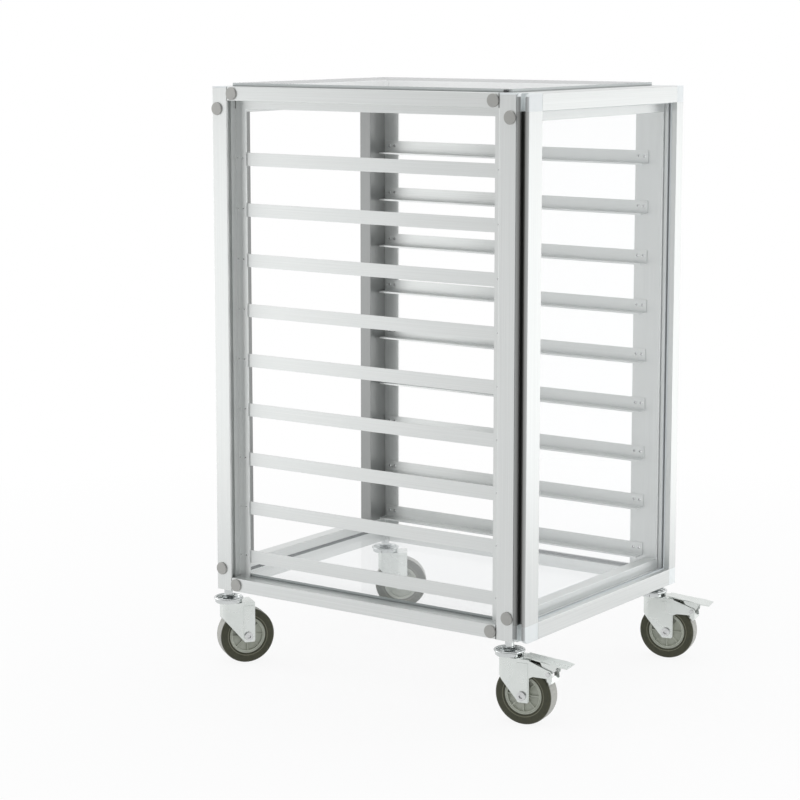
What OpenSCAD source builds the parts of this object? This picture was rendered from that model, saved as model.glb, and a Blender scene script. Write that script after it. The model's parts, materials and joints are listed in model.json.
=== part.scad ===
// Rack trolley for bakery trays: an aluminium profile frame on four swivel casters,
// with tray runners on both long sides, a clear top, a clear floor and one clear door.
// X runs from the open end to the door end, Y from the front side to the rear side.
// The origin is on the floor, under the middle of the frame.

/* [Frame] */
// Length of the frame from the open end to the door end
frame_l = 650; // [600:10:720]
// Depth of the frame from the front side to the rear side
frame_w = 530; // [480:10:600]
// Height of the frame without casters and top sheet
frame_h = 930; // [880:10:1100]

/* [Posts] */
// Width of a post's box along the frame's length
post_w = 33.5; // [33:0.5:38]
// Depth of a post's box, which sets the plane of the tray runners
post_d = 28; // [27:0.5:32]
// Wall of every aluminium profile
profile_wall = 2.2; // [1.8:0.1:2.5]
// Radius of the profiles' outer corners
profile_r = 1.2; // [0.8:0.1:1.6]
// Width of a post with its screw flange
post_flange_w = 57; // [52:0.5:64]
// Thickness of the flanges and ledges
flange_t = 3; // [2:0.5:4]
// Radius of the round core channel that takes the caster stem
core_r = 6; // [5:0.5:6.5]
// Distance of the core channel from the post's end face
core_x = 14.5; // [14:0.5:16]
// Mouth of the slot in the post's inner side
slot_mouth = 8; // [6:0.5:8]
// Width of the slot behind its mouth
slot_chamber = 11; // [9:0.5:11]
// Distance of the slot's middle from the post's outer face
slot_y = 8; // [8:0.5:9]
// Thickness of the plugs on top of the posts
plug_t = 2.5; // [2:0.5:4]

/* [Rails] */
// Height of the side rails
side_rail_h = 25; // [22:1:30]
// Height of the flange that hangs below a top side rail
rail_flange_h = 15; // [10:1:20]
// Width of the ledge that carries the clear sheets
sheet_ledge = 10; // [6:1:14]
// Height of the end rails
end_rail_h = 48; // [44:1:56]
// Depth of the end rails and the tray stops
end_rail_d = 25; // [24:1:28]
// Width of a tray stop at the open end
tray_stop_w = 50; // [40:1:70]

/* [Clear sheets] */
// Thickness of the top sheet and the floor sheet
sheet_t = 6; // [4:1:8]
// Thickness of the door pane
pane_t = 4; // [3:0.5:5]

/* [Tray runners] */
// Height of a runner's upright leg
runner_h = 24; // [20:1:30]
// Depth of a runner's ledge
runner_ledge = 26; // [20:1:35]
// Thickness of the runners
runner_t = 2; // [1.5:0.5:3]
// Depth of the bead under the ledge's edge
runner_bead = 1; // [0.5:0.5:2]
// Distance of a runner's ends from the frame's ends
runner_inset = 29.5; // [29:0.5:32]
// Distance of the highest ledge from the frame's top
first_runner_drop = 143; // [120:1:170]
// Height of the lowest ledge over the frame's bottom
last_runner_rise = 51; // [45:1:70]
// Radius of a runner screw's head
screw_head_r = 3; // [2.5:0.5:3.5]

/* [Corner fittings] */
// Radius of the round caps over the corner fittings
cap_r = 11.5; // [9:0.5:12]
// Thickness of the caps
cap_t = 3; // [2:0.5:4]
// Distance of a rail cap from the rail's end
rail_cap_x = 11.5; // [11.5:0.5:14]
// Distance of a post cap from the post's outer edge
post_cap_x = 11.5; // [11.5:0.5:13]
// Distance of a post cap from the frame's top or bottom
post_cap_z = 40; // [38:0.5:41]

/* [Door] */
// Thickness of the door frame
door_t = 25; // [22:1:30]
// Gap between the closed door and the frame
door_gap = 0.5; // [0.4:0.1:1]
// Width of the stile with the finger groove
handle_stile_w = 42; // [40:1:50]
// Width of the stile at the hinges
hinge_stile_w = 24; // [20:1:30]
// Height of the door's rails and corner blocks
door_rail_h = 30; // [24:1:34]
// Depth of the grooves that hold the pane
pane_groove = 7.5; // [6:0.5:8]
// Distance of the pane's middle from the door's inner face
pane_x = 10.5; // [9:0.5:12]
// Width of the finger groove's mouth
finger_mouth = 10; // [8:1:12]
// Depth of the finger groove
finger_depth = 15; // [12:1:17]
// Radius of the rounded top corner of the door
door_corner_r = 9.5; // [5:0.5:14]

/* [Hinges] */
// Length of a hinge
hinge_l = 60; // [45:3:75]
// Thickness of a hinge leaf
leaf_t = 2; // [1.5:0.5:2.5]
// Width of a hinge leaf
leaf_w = 22; // [16:1:23]
// Radius of the hinge knuckles
knuckle_r = 4.5; // [4:0.5:5]
// Radius of the hinge pins
hinge_pin_r = 2; // [1.5:0.5:2.5]
// Distance of a hinge's middle from the frame's top or bottom
hinge_z = 130; // [110:5:180]

/* [Casters] */
// Diameter of the wheels
wheel_d = 104; // [96:1:106]
// Width of the tyres
wheel_w = 32; // [26:1:33]
// Depth of the tyres from the tread to the hub
tyre_depth = 18; // [14:0.5:20]
// Gap between a wheel and the fork's crown
wheel_gap = 9.5; // [9:0.5:14]
// Height from the fork's crown to the frame
race_stack = 26; // [24:0.5:34]
// Distance of the axle behind the swivel axis
trail = 32; // [28:1:36]
// Thickness of the fork's sheet metal
fork_t = 2.5; // [2:0.5:3]
// Inside width of the fork
fork_gap = 37; // [36:0.5:40]
// Radius of the fork's bends behind the wheel
fork_bend_r = 11; // [6:0.5:11.5]
// Distance from the axle to the front edge of a fork leg
leg_front = 13; // [11:0.5:14]
// Distance from the axle to the lower end of a fork leg
leg_drop = 11.5; // [10:0.5:14]
// Radius of the axle
axle_r = 5; // [4:0.5:6]
// Radius of the swivel race
race_r = 27.5; // [25:0.5:28]
// Radius of the swivel's king pin
king_r = 4.5; // [4:0.5:5]
// Length of the stem inside the post
stem_l = 28; // [20:1:30]
// Trail angle of the front left caster, seen from above
swivel_front_left = 55; // [0:1:360]
// Trail angle of the rear left caster
swivel_rear_left = 35; // [0:1:360]
// Trail angle of the front right caster
swivel_front_right = 9; // [0:1:360]
// Trail angle of the rear right caster
swivel_rear_right = 14; // [0:1:360]

/* [Brakes] */
// Distance of the pedal's pin ahead of the axle
pedal_pin_ahead = 48; // [44:1:52]
// Radius of the pedal's pin
pedal_pin_r = 2.5; // [2:0.5:3]
// Reach of the pedal from the swivel axis
pedal_reach = 113; // [105:1:122]
// Width of the pedal's foot plate
pedal_w = 40; // [36:1:46]
// Gap between the raised brake shoe and the tyre
shoe_gap = 3.25; // [3:0.25:4]

/* [Hidden] */
$fn = 48;
// Levels of tray runners, one node each
levels = 9;
// Play of a piece that turns on a pin
running_play = 0.05;
// Play of a piece that is pushed into another
push_play = 0.1;
// Play between pieces that pass each other
free_play = 0.3;
// Far beyond the piece that is cut
beyond = 1;

core_wall = 3;
web_t = 2;
slot_lip = 2;
slot_depth = 4.5;
post_top = frame_h - plug_t;
plug_l = 10;
core_y = post_d / 2;
half_l = frame_l / 2;
half_w = frame_w / 2;
runner_pitch = (frame_h - first_runner_drop - last_runner_rise) / (levels - 1);
side_rail_l = frame_l - 2 * post_w;
end_rail_l = frame_w - 2 * post_d;
flange_bottom = side_rail_h;
flange_top = frame_h - side_rail_h - rail_flange_h;
sheet_play = free_play;

// Fasteners and caps in the corners
cap_edge = 0.8;
bolt_r = 4;
bolt_head_r = 6.5;
bolt_head_h = 8;
bolt_l = 40;
counterbore_r = bolt_head_r + 0.5;
channel_wall = 2;
cam_r = 7.5;
cam_l = 13;
cam_pin_r = 3;
cam_pin_head = [4, slot_chamber - 2 * push_play, 8];

// Screws of the runners, two at each end
screw_r = 1.6;
screw_l = runner_t + flange_t - 0.5;
screw_head_h = 1.6;
screw_inset = 8;
screw_step = 12;
screw_rise = 14;

// Door, measured from its inner lower front corner
door_w = frame_w;
stile_l = frame_h - 2 * door_rail_h;
door_rail_l = door_w - handle_stile_w - hinge_stile_w;
finger_lip = 3;
finger_chamber = finger_mouth + 4;
tenon_l = 22;
handle_hollow_y = finger_depth + profile_wall;

// Hinges
hinge_x = door_gap / 2;
hinge_y = knuckle_r + 0.5;
leaf_reach = 1;
knuckle_l = hinge_l / 3;
pin_head_h = 1.5;

// Casters, heights over the floor
axle_z = wheel_d / 2;
crown_bottom = wheel_d + wheel_gap;
crown_top = crown_bottom + fork_t;
caster_h = crown_top + race_stack;
lower_race_h = 3;
lower_race_top = crown_top + lower_race_h;
race_floor_t = 2.5;
race_floor_bottom = lower_race_top + free_play;
race_floor_top = race_floor_bottom + race_floor_t;
lip_r = 2.4;
lip_z = race_floor_top + lip_r;
skirt_t = 1.5;
race_clear = 1;
lower_race_r = race_r - lip_r - skirt_t - race_clear;
rivet_r = king_r + 3.5;
rivet_h = 2.5;
nut_r = 11;
nut_h = 8;
collar_r = 8;
axle_head_r = axle_r + 3;
axle_head_h = 3.5;
socket_r = axle_r - 1;

// Forks, along the trail and over the floor
leg_back_in = 6;
leg_back_drop = 30;
leg_back_u = trail - wheel_d / 2 + leg_back_in;
leg_back_z = crown_top - leg_back_drop;
leg_front_u = trail + leg_front;
leg_heel = 9;
leg_corner_r = 4;
press_t = 0.8;
press_drop = 6;
press_top = crown_top - press_drop;

// Wheels
hub_r = wheel_d / 2 - tyre_depth;
hub_rim_t = 5;
hub_rim_inset = 1.5;
hub_web_inset = 6;
hub_ribs = 8;
rib_t = 2;
boss_wall = 6;
boss_r = axle_r + boss_wall;
tyre_shoulder = 5;
tyre_band = 3.5;

// Brakes
pedal_t = 2;
pedal_pin_u = trail + pedal_pin_ahead;
pedal_pin_drop = 21;
pedal_pin_z = crown_top - pedal_pin_drop;
pin_turn = atan2(pedal_pin_z - axle_z, pedal_pin_ahead);
pin_head_r = pedal_pin_r + 1.5;
pin_head_t = 1.5;
arm_end_r = 7;
arm_rise = 4;
pedal_inner_u = race_r + 5;
pedal_drop = 11;
pedal_slope = atan2(pedal_drop, pedal_reach - pedal_inner_u);
pedal_inner_z = crown_top + free_play + (leg_front_u - pedal_inner_u) * tan(pedal_slope);
cheek_r = 5.5;
cheek_root = 16;
shoe_t = 5;
shoe_l = 9;
shoe_lag = 11;
shoe_turn = pin_turn - shoe_lag;
shoe_mid = wheel_d / 2 + shoe_gap + shoe_t / 2;
shoe_u = trail + shoe_mid * cos(shoe_turn);
shoe_z = axle_z + shoe_mid * sin(shoe_turn);

aluminium = [0.84, 0.85, 0.84];
aluminium_dark = [0.74, 0.75, 0.74];
clear_blue = [0.86, 0.93, 0.95, 0.4];
cap_grey = [0.58, 0.58, 0.56];
plastic_pale = [0.85, 0.88, 0.88];
zinc = [0.78, 0.80, 0.80];
steel = [0.70, 0.71, 0.72];
tyre_grey = [0.28, 0.28, 0.23];
hub_grey = [0.64, 0.65, 0.61];

// Small helpers

// Rectangle with round corners
module round_rect(w, d, r) {
    translate([r, 0]) square([w - 2 * r, d]);
    translate([0, r]) square([w, d - 2 * r]);
    for (x = [r, w - r], y = [r, d - r])
        translate([x, y]) circle(r);
}

// Lays an outline of Y and Z out along X
module along_x(l) {
    rotate([90, 0, 90]) linear_extrude(l) children();
}

// Lays an outline of X and Z out along Y
module along_y(l) {
    translate([0, l, 0]) rotate([90, 0, 0]) linear_extrude(l) children();
}

// Puts what is drawn for the front left corner into another corner of the frame
module to_corner(side_x, side_y) {
    translate([side_x * half_l, side_y * half_w, caster_h])
        mirror([side_x > 0 ? 1 : 0, 0, 0])
            mirror([0, side_y > 0 ? 1 : 0, 0])
                children();
}

// Posts

// Outline of a post's box, with its core channel, webs and slot
module post_box_section() {
    difference() {
        round_rect(post_w, post_d, profile_r);
        difference() {
            translate([profile_wall, profile_wall])
                square([post_w - 2 * profile_wall, post_d - 2 * profile_wall]);
            translate([core_x, core_y]) circle(core_r + core_wall);
            translate([core_x - web_t / 2, 0]) square([web_t, post_d]);
            translate([0, core_y - web_t / 2]) square([post_w, web_t]);
            translate([post_w - slot_lip - slot_depth - web_t, 0])
                square([slot_lip + slot_depth + web_t, slot_y + slot_chamber / 2 + web_t]);
        }
        translate([core_x, core_y]) circle(core_r);
        translate([post_w - slot_lip - beyond, slot_y - slot_mouth / 2])
            square([slot_lip + 2 * beyond, slot_mouth]);
        translate([post_w - slot_lip - slot_depth, slot_y - slot_chamber / 2])
            square([slot_depth, slot_chamber]);
    }
}

// Places one child at each runner screw of a post or a runner end
module at_runner_screws() {
    for (level = [1 : levels], step = [0, 1])
        translate([
            runner_inset + screw_inset + step * screw_step,
            0,
            runner_z(level) + screw_rise
        ])
            children();
}

// Height of a ledge's underside over the frame's bottom
function runner_z(level) = frame_h - first_runner_drop - (level - 1) * runner_pitch;

module post() {
    difference() {
        union() {
            linear_extrude(post_top) post_box_section();
            translate([post_w - profile_wall, post_d - flange_t, flange_bottom])
                cube([
                    post_flange_w - post_w + profile_wall,
                    flange_t,
                    flange_top - flange_bottom
                ]);
        }
        // Ways for the end rails' bolts
        for (z = [post_cap_z, frame_h - post_cap_z])
            translate([post_cap_x, 0, z]) {
                translate([0, -beyond, 0]) rotate([-90, 0, 0])
                    cylinder(r = counterbore_r, h = post_d - profile_wall + beyond);
                rotate([-90, 0, 0]) cylinder(r = bolt_r + push_play, h = post_d + beyond);
            }
        // Holes of the runner screws
        at_runner_screws() translate([0, post_d - flange_t - beyond, 0]) rotate([-90, 0, 0])
            cylinder(r = screw_r + running_play, h = flange_t + 2 * beyond);
    }
}

module post_front_left() { color(aluminium) to_corner(-1, -1) post(); }
module post_front_right() { color(aluminium) to_corner(1, -1) post(); }
module post_rear_left() { color(aluminium) to_corner(-1, 1) post(); }
module post_rear_right() { color(aluminium) to_corner(1, 1) post(); }

module post_plugs() {
    color(plastic_pale)
        for (side_x = [-1, 1], side_y = [-1, 1])
            to_corner(side_x, side_y) {
                translate([0, 0, post_top])
                    linear_extrude(plug_t) round_rect(post_w, post_d, profile_r);
                translate([core_x, core_y, post_top - plug_l])
                    cylinder(r = core_r - push_play, h = plug_l);
            }
}

// Rails

// Outline of a side rail in Y and Z, from its outer lower edge
module side_rail_section() {
    difference() {
        union() {
            round_rect(post_d, side_rail_h, profile_r);
            translate([post_d - profile_wall, side_rail_h - flange_t])
                square([sheet_ledge + profile_wall, flange_t]);
        }
        translate([profile_wall, profile_wall])
            square([post_d - 2 * profile_wall, side_rail_h - profile_wall - flange_t]);
    }
}

module side_rail(with_flange) {
    difference() {
        along_x(side_rail_l) union() {
            side_rail_section();
            if (with_flange)
                translate([post_d - flange_t, -rail_flange_h])
                    square([flange_t, rail_flange_h + profile_wall]);
        }
        // Seats of the cam fittings
        for (x = [rail_cap_x, side_rail_l - rail_cap_x])
            translate([x, -beyond, side_rail_h / 2]) rotate([-90, 0, 0])
                cylinder(r = cam_r + push_play, h = profile_wall + beyond + beyond);
    }
}

module top_side_rail(side_y) {
    to_corner(-1, side_y) translate([post_w, 0, frame_h - side_rail_h]) side_rail(true);
}

module base_side_rail(side_y) {
    to_corner(-1, side_y) translate([post_w, 0, 0]) side_rail(false);
}

module top_rail_front() { color(aluminium) top_side_rail(-1); }
module top_rail_rear() { color(aluminium) top_side_rail(1); }
module base_rail_front() { color(aluminium) base_side_rail(-1); }
module base_rail_rear() { color(aluminium) base_side_rail(1); }

// Outline of an end rail in X and Z, with a screw channel near each edge
module end_rail_section() {
    difference() {
        round_rect(end_rail_d, end_rail_h, profile_r);
        difference() {
            translate([profile_wall, profile_wall])
                square([end_rail_d - 2 * profile_wall, end_rail_h - 2 * profile_wall]);
            for (z = [end_rail_h - post_cap_z, post_cap_z])
                translate([post_cap_x, z]) {
                    circle(bolt_r + channel_wall);
                    translate([-post_cap_x, -web_t / 2]) square([post_cap_x, web_t]);
                }
            translate([0, (end_rail_h - web_t) / 2]) square([end_rail_d, web_t]);
        }
        for (z = [end_rail_h - post_cap_z, post_cap_z])
            translate([post_cap_x, z]) circle(bolt_r + push_play);
    }
}

module end_rail() {
    translate([0, post_d, 0]) along_y(end_rail_l) end_rail_section();
}

module top_end_rail_left() {
    color(aluminium) to_corner(-1, -1) translate([0, 0, frame_h - end_rail_h]) end_rail();
}

module top_end_rail_right() {
    color(aluminium) to_corner(1, -1) translate([0, 0, frame_h - end_rail_h]) end_rail();
}

module base_end_rail_left() { color(aluminium) to_corner(-1, -1) end_rail(); }
module base_end_rail_right() { color(aluminium) to_corner(1, -1) end_rail(); }

// Upright profiles at the open end, which stop the trays
module tray_stops() {
    color(aluminium_dark)
        for (side_y = [-1, 1])
            to_corner(-1, side_y)
                translate([0, post_d, end_rail_h])
                    linear_extrude(frame_h - 2 * end_rail_h)
                        difference() {
                            round_rect(end_rail_d, tray_stop_w, profile_r);
                            translate([profile_wall, profile_wall])
                                square([
                                    end_rail_d - 2 * profile_wall,
                                    tray_stop_w / 2 - 1.5 * profile_wall
                                ]);
                            translate([profile_wall, (tray_stop_w + profile_wall) / 2])
                                square([
                                    end_rail_d - 2 * profile_wall,
                                    tray_stop_w / 2 - 1.5 * profile_wall
                                ]);
                        }
}

// Corner fittings

module cap() {
    // Round cap with a broken edge, standing on the face toward the front
    rotate([90, 0, 0]) {
        cylinder(r = cap_r, h = cap_t - cap_edge);
        translate([0, 0, cap_t - cap_edge])
            cylinder(r1 = cap_r, r2 = cap_r - cap_edge, h = cap_edge);
    }
}

module joint_caps() {
    color(cap_grey)
        for (side_x = [-1, 1], side_y = [-1, 1])
            to_corner(side_x, side_y) {
                for (z = [post_cap_z, frame_h - post_cap_z])
                    translate([post_cap_x, 0, z]) cap();
                for (z = [side_rail_h / 2, frame_h - side_rail_h / 2])
                    translate([post_w + rail_cap_x, 0, z]) cap();
            }
}

// Bolts through the posts into the end rails, behind the post caps
module end_rail_bolts() {
    color(steel)
        for (side_x = [-1, 1], side_y = [-1, 1])
            to_corner(side_x, side_y)
                for (z = [post_cap_z, frame_h - post_cap_z])
                    translate([post_cap_x, post_d - profile_wall, z]) rotate([-90, 0, 0]) {
                        cylinder(r = bolt_r, h = bolt_l);
                        difference() {
                            translate([0, 0, -bolt_head_h])
                                cylinder(r = bolt_head_r, h = bolt_head_h);
                            translate([0, 0, -bolt_head_h - beyond])
                                cylinder(r = bolt_r, h = bolt_head_h / 2 + beyond, $fn = 6);
                        }
                    }
}

// Cams in the side rails and their pins, whose heads sit in the posts' slots
module corner_cams() {
    color(steel)
        for (side_x = [-1, 1], side_y = [-1, 1])
            to_corner(side_x, side_y)
                for (z = [side_rail_h / 2, frame_h - side_rail_h / 2])
                    translate([0, 0, z]) {
                        difference() {
                            translate([post_w + rail_cap_x, push_play, 0]) rotate([-90, 0, 0])
                                cylinder(r = cam_r, h = cam_l);
                            translate([post_w, slot_y, 0]) rotate([0, 90, 0])
                                cylinder(r = cam_pin_r + push_play, h = rail_cap_x + 3);
                        }
                        translate([post_w - slot_lip - cam_pin_head[0], slot_y, 0])
                            rotate([0, 90, 0])
                                cylinder(
                                    r = cam_pin_r,
                                    h = cam_pin_head[0] + slot_lip + rail_cap_x + 2
                                );
                        translate([
                            post_w - slot_lip - cam_pin_head[0],
                            slot_y - cam_pin_head[1] / 2,
                            -cam_pin_head[2] / 2
                        ])
                            cube(cam_pin_head);
                    }
}

// Clear sheets

module clear_sheet(z) {
    inset = end_rail_d + sheet_play;
    translate([-half_l + inset, -half_w + post_d + sheet_play, caster_h + z])
        cube([
            frame_l - 2 * inset,
            frame_w - 2 * post_d - 2 * sheet_play,
            sheet_t
        ]);
}

module top_sheet() { color(clear_blue) clear_sheet(frame_h); }
module floor_sheet() { color(clear_blue) clear_sheet(side_rail_h); }

// Tray runners

// Outline of a runner in Y and Z, from its lower edge at the post
module runner_section() {
    square([runner_t, runner_h]);
    square([runner_ledge, runner_t]);
    translate([runner_ledge - runner_t, -runner_bead]) square([runner_t, runner_bead + runner_t]);
}

module runner() {
    difference() {
        translate([runner_inset, post_d, 0])
            along_x(frame_l - 2 * runner_inset) runner_section();
        for (end = [0, 1], step = [0, 1]) {
            from_end = runner_inset + screw_inset + step * screw_step;
            translate([
                end == 0 ? from_end : frame_l - from_end,
                post_d - beyond,
                screw_rise
            ])
                rotate([-90, 0, 0]) cylinder(r = screw_r + running_play, h = runner_t + 2 * beyond);
        }
    }
}

module tray_runners(level) {
    color(aluminium)
        for (side_y = [-1, 1])
            to_corner(-1, side_y) translate([0, 0, runner_z(level)]) runner();
}

// Pan head screws that hold the runners to the posts
module runner_screws() {
    color(steel)
        for (side_x = [-1, 1], side_y = [-1, 1])
            to_corner(side_x, side_y)
                at_runner_screws() translate([0, post_d + runner_t, 0]) rotate([90, 0, 0]) {
                    cylinder(r = screw_r, h = screw_l);
                    translate([0, 0, -screw_head_h])
                        cylinder(r1 = screw_head_r - 1, r2 = screw_head_r, h = screw_head_h);
                }
}

// Door

// Puts what is drawn in the door's own frame in its place
module on_door() {
    translate([half_l + door_gap, -half_w, caster_h]) children();
}

// Room for the pane in the door's frame
module pane_room() {
    edge = pane_groove + push_play;
    translate([
        pane_x - pane_t / 2 - push_play,
        handle_stile_w - edge,
        door_rail_h - edge
    ])
        cube([
            pane_t + 2 * push_play,
            door_rail_l + 2 * edge,
            stile_l + 2 * edge
        ]);
}

// Outline of the finger groove in X and Y
module finger_groove_section() {
    translate([(door_t - finger_mouth) / 2, -beyond])
        square([finger_mouth, finger_lip + 2 * beyond]);
    translate([(door_t - finger_chamber) / 2, finger_lip])
        round_rect(finger_chamber, finger_depth - finger_lip, finger_lip);
}

module door_handle_stile() {
    color(aluminium) on_door() difference() {
        translate([0, 0, door_rail_h]) linear_extrude(stile_l) difference() {
            round_rect(door_t, handle_stile_w, profile_r);
            finger_groove_section();
            handle_hollow(0);
        }
        pane_room();
    }
}

// Hollow of the handle stile, or the corner block's tenon in it
module handle_hollow(play) {
    translate([profile_wall + play, handle_hollow_y + play])
        square([
            door_t - 2 * profile_wall - 2 * play,
            handle_stile_w - handle_hollow_y - pane_groove - profile_wall - 2 * play
        ]);
}

// Hollow of the hinge stile, or the corner block's tenon in it
module hinge_hollow(play) {
    translate([profile_wall + play, door_w - hinge_stile_w + pane_groove + profile_wall + play])
        square([
            door_t - 2 * profile_wall - 2 * play,
            hinge_stile_w - pane_groove - 2 * profile_wall - 2 * play
        ]);
}

module door_hinge_stile() {
    color(aluminium) on_door() difference() {
        translate([0, 0, door_rail_h]) linear_extrude(stile_l) difference() {
            translate([0, door_w - hinge_stile_w]) round_rect(door_t, hinge_stile_w, profile_r);
            hinge_hollow(0);
        }
        pane_room();
    }
}

// Hollow of the lower door rail in X and Z, or the corner block's tenon in it
module door_rail_hollow(play) {
    translate([profile_wall + play, profile_wall + play])
        square([
            door_t - 2 * profile_wall - 2 * play,
            door_rail_h - pane_groove - 2 * profile_wall - 2 * play
        ]);
}

module door_rail() {
    translate([0, handle_stile_w, 0]) along_y(door_rail_l) difference() {
        round_rect(door_t, door_rail_h, profile_r);
        door_rail_hollow(0);
    }
}

// Turns a piece of the door's lower edge over to its upper edge
module door_top() {
    translate([0, 0, frame_h]) mirror([0, 0, 1]) children();
}

module door_base_rail() {
    color(aluminium) on_door() difference() {
        door_rail();
        pane_room();
    }
}

module door_top_rail() {
    color(aluminium) on_door() difference() {
        door_top() door_rail();
        pane_room();
    }
}

// Corner block at the handle side, with a tenon into the stile and one into the rail
module handle_corner_block() {
    difference() {
        union() {
            linear_extrude(door_rail_h) difference() {
                round_rect(door_t, handle_stile_w, profile_r);
                finger_groove_section();
            }
            linear_extrude(door_rail_h + tenon_l) handle_hollow(push_play);
            translate([0, handle_stile_w, 0]) along_y(tenon_l) door_rail_hollow(push_play);
        }
        pane_room();
        // Round outer corner
        translate([-beyond, -beyond, -beyond]) difference() {
            cube([door_t + 2 * beyond, door_corner_r + beyond, door_corner_r + beyond]);
            translate([-beyond, door_corner_r + beyond, door_corner_r + beyond])
                rotate([0, 90, 0]) cylinder(r = door_corner_r, h = door_t + 4 * beyond);
        }
    }
}

// Corner block at the hinge side
module hinge_corner_block() {
    difference() {
        union() {
            translate([0, door_w - hinge_stile_w, 0])
                linear_extrude(door_rail_h) round_rect(door_t, hinge_stile_w, profile_r);
            linear_extrude(door_rail_h + tenon_l) hinge_hollow(push_play);
            translate([0, door_w - hinge_stile_w - tenon_l, 0])
                along_y(tenon_l) door_rail_hollow(push_play);
        }
        pane_room();
    }
}

module door_corners() {
    color(plastic_pale) on_door() {
        handle_corner_block();
        hinge_corner_block();
        door_top() handle_corner_block();
        door_top() hinge_corner_block();
    }
}

module door_pane() {
    color(clear_blue) on_door()
        translate([
            pane_x - pane_t / 2,
            handle_stile_w - pane_groove,
            door_rail_h - pane_groove
        ])
            cube([pane_t, door_rail_l + 2 * pane_groove, stile_l + 2 * pane_groove]);
}

// Hinges, drawn about their pin's axis with their middle at zero height

module at_hinges() {
    for (z = [hinge_z, frame_h - hinge_z])
        translate([half_l + hinge_x, half_w + hinge_y, caster_h + z]) children();
}

module knuckle(l) {
    translate([0, 0, -l / 2]) cylinder(r = knuckle_r, h = l);
}

// Leaf on the frame, with a knuckle at each end
module hinge_leaves_frame() {
    end_knuckle_l = knuckle_l - free_play;
    color(steel) at_hinges() difference() {
        union() {
            translate([-leaf_w, -hinge_y, -hinge_l / 2])
                cube([leaf_w - knuckle_r - free_play, leaf_t, hinge_l]);
            for (end = [-1, 1])
                translate([0, 0, end * knuckle_l]) {
                    knuckle(end_knuckle_l);
                    translate([-leaf_w, -hinge_y, -end_knuckle_l / 2])
                        cube([leaf_w - leaf_reach, leaf_t, end_knuckle_l]);
                }
        }
        translate([0, 0, -hinge_l])
            cylinder(r = hinge_pin_r + running_play, h = 2 * hinge_l);
    }
}

// Leaf on the door, with the middle knuckle
module hinge_leaves_door() {
    color(steel) at_hinges() difference() {
        union() {
            knuckle(knuckle_l - free_play);
            translate([knuckle_r + free_play, -hinge_y, -hinge_l / 2])
                cube([leaf_w - knuckle_r - free_play, leaf_t, hinge_l]);
            translate([leaf_reach, -hinge_y, -(knuckle_l - free_play) / 2])
                cube([leaf_w - leaf_reach, leaf_t, knuckle_l - free_play]);
        }
        translate([0, 0, -hinge_l])
            cylinder(r = hinge_pin_r + running_play, h = 2 * hinge_l);
    }
}

module hinge_pins() {
    color(steel) at_hinges() {
        translate([0, 0, -hinge_l / 2]) cylinder(r = hinge_pin_r, h = hinge_l);
        for (end = [0, 1])
            mirror([0, 0, end]) translate([0, 0, hinge_l / 2])
                cylinder(r1 = hinge_pin_r + 1, r2 = hinge_pin_r, h = pin_head_h);
    }
}

// Casters, drawn with their swivel axis at zero and their trail along +X

module at_caster(side_x, side_y, angle) {
    translate([side_x * (half_l - core_x), side_y * (half_w - core_y), 0])
        rotate([0, 0, angle])
            children();
}

module at_front_left() { at_caster(-1, -1, swivel_front_left) children(); }
module at_rear_left() { at_caster(-1, 1, swivel_rear_left) children(); }
module at_front_right() { at_caster(1, -1, swivel_front_right) children(); }
module at_rear_right() { at_caster(1, 1, swivel_rear_right) children(); }

// Stem, nut, upper race and king pin, which stay with the frame
module caster_mount() {
    color(zinc) {
        translate([0, 0, caster_h]) cylinder(r = core_r - running_play, h = stem_l);
        translate([0, 0, race_floor_top])
            cylinder(r = collar_r, h = caster_h - race_floor_top);
        translate([0, 0, race_floor_top]) cylinder(r = nut_r, h = nut_h, $fn = 6);
        // Dished upper race with a rolled rim and a skirt over the lower race
        rotate_extrude() {
            polygon([
                [0, race_floor_bottom],
                [race_r - lip_r - skirt_t, race_floor_bottom],
                [race_r - lip_r, lip_z - lip_r / 2],
                [race_r - lip_r, lip_z + lip_r / 2],
                [race_r - 2 * lip_r - skirt_t, race_floor_top],
                [0, race_floor_top]
            ]);
            translate([race_r - lip_r, lip_z]) circle(lip_r);
            translate([race_r - lip_r - skirt_t, crown_top + race_clear])
                square([skirt_t, lip_z - crown_top - race_clear]);
        }
        // King pin with its riveted head below the crown
        translate([0, 0, crown_bottom - rivet_h])
            cylinder(r = king_r, h = race_floor_top - crown_bottom + rivet_h);
        translate([0, 0, crown_bottom - free_play - rivet_h])
            cylinder(r1 = king_r + 2, r2 = rivet_r, h = rivet_h);
    }
}

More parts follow.
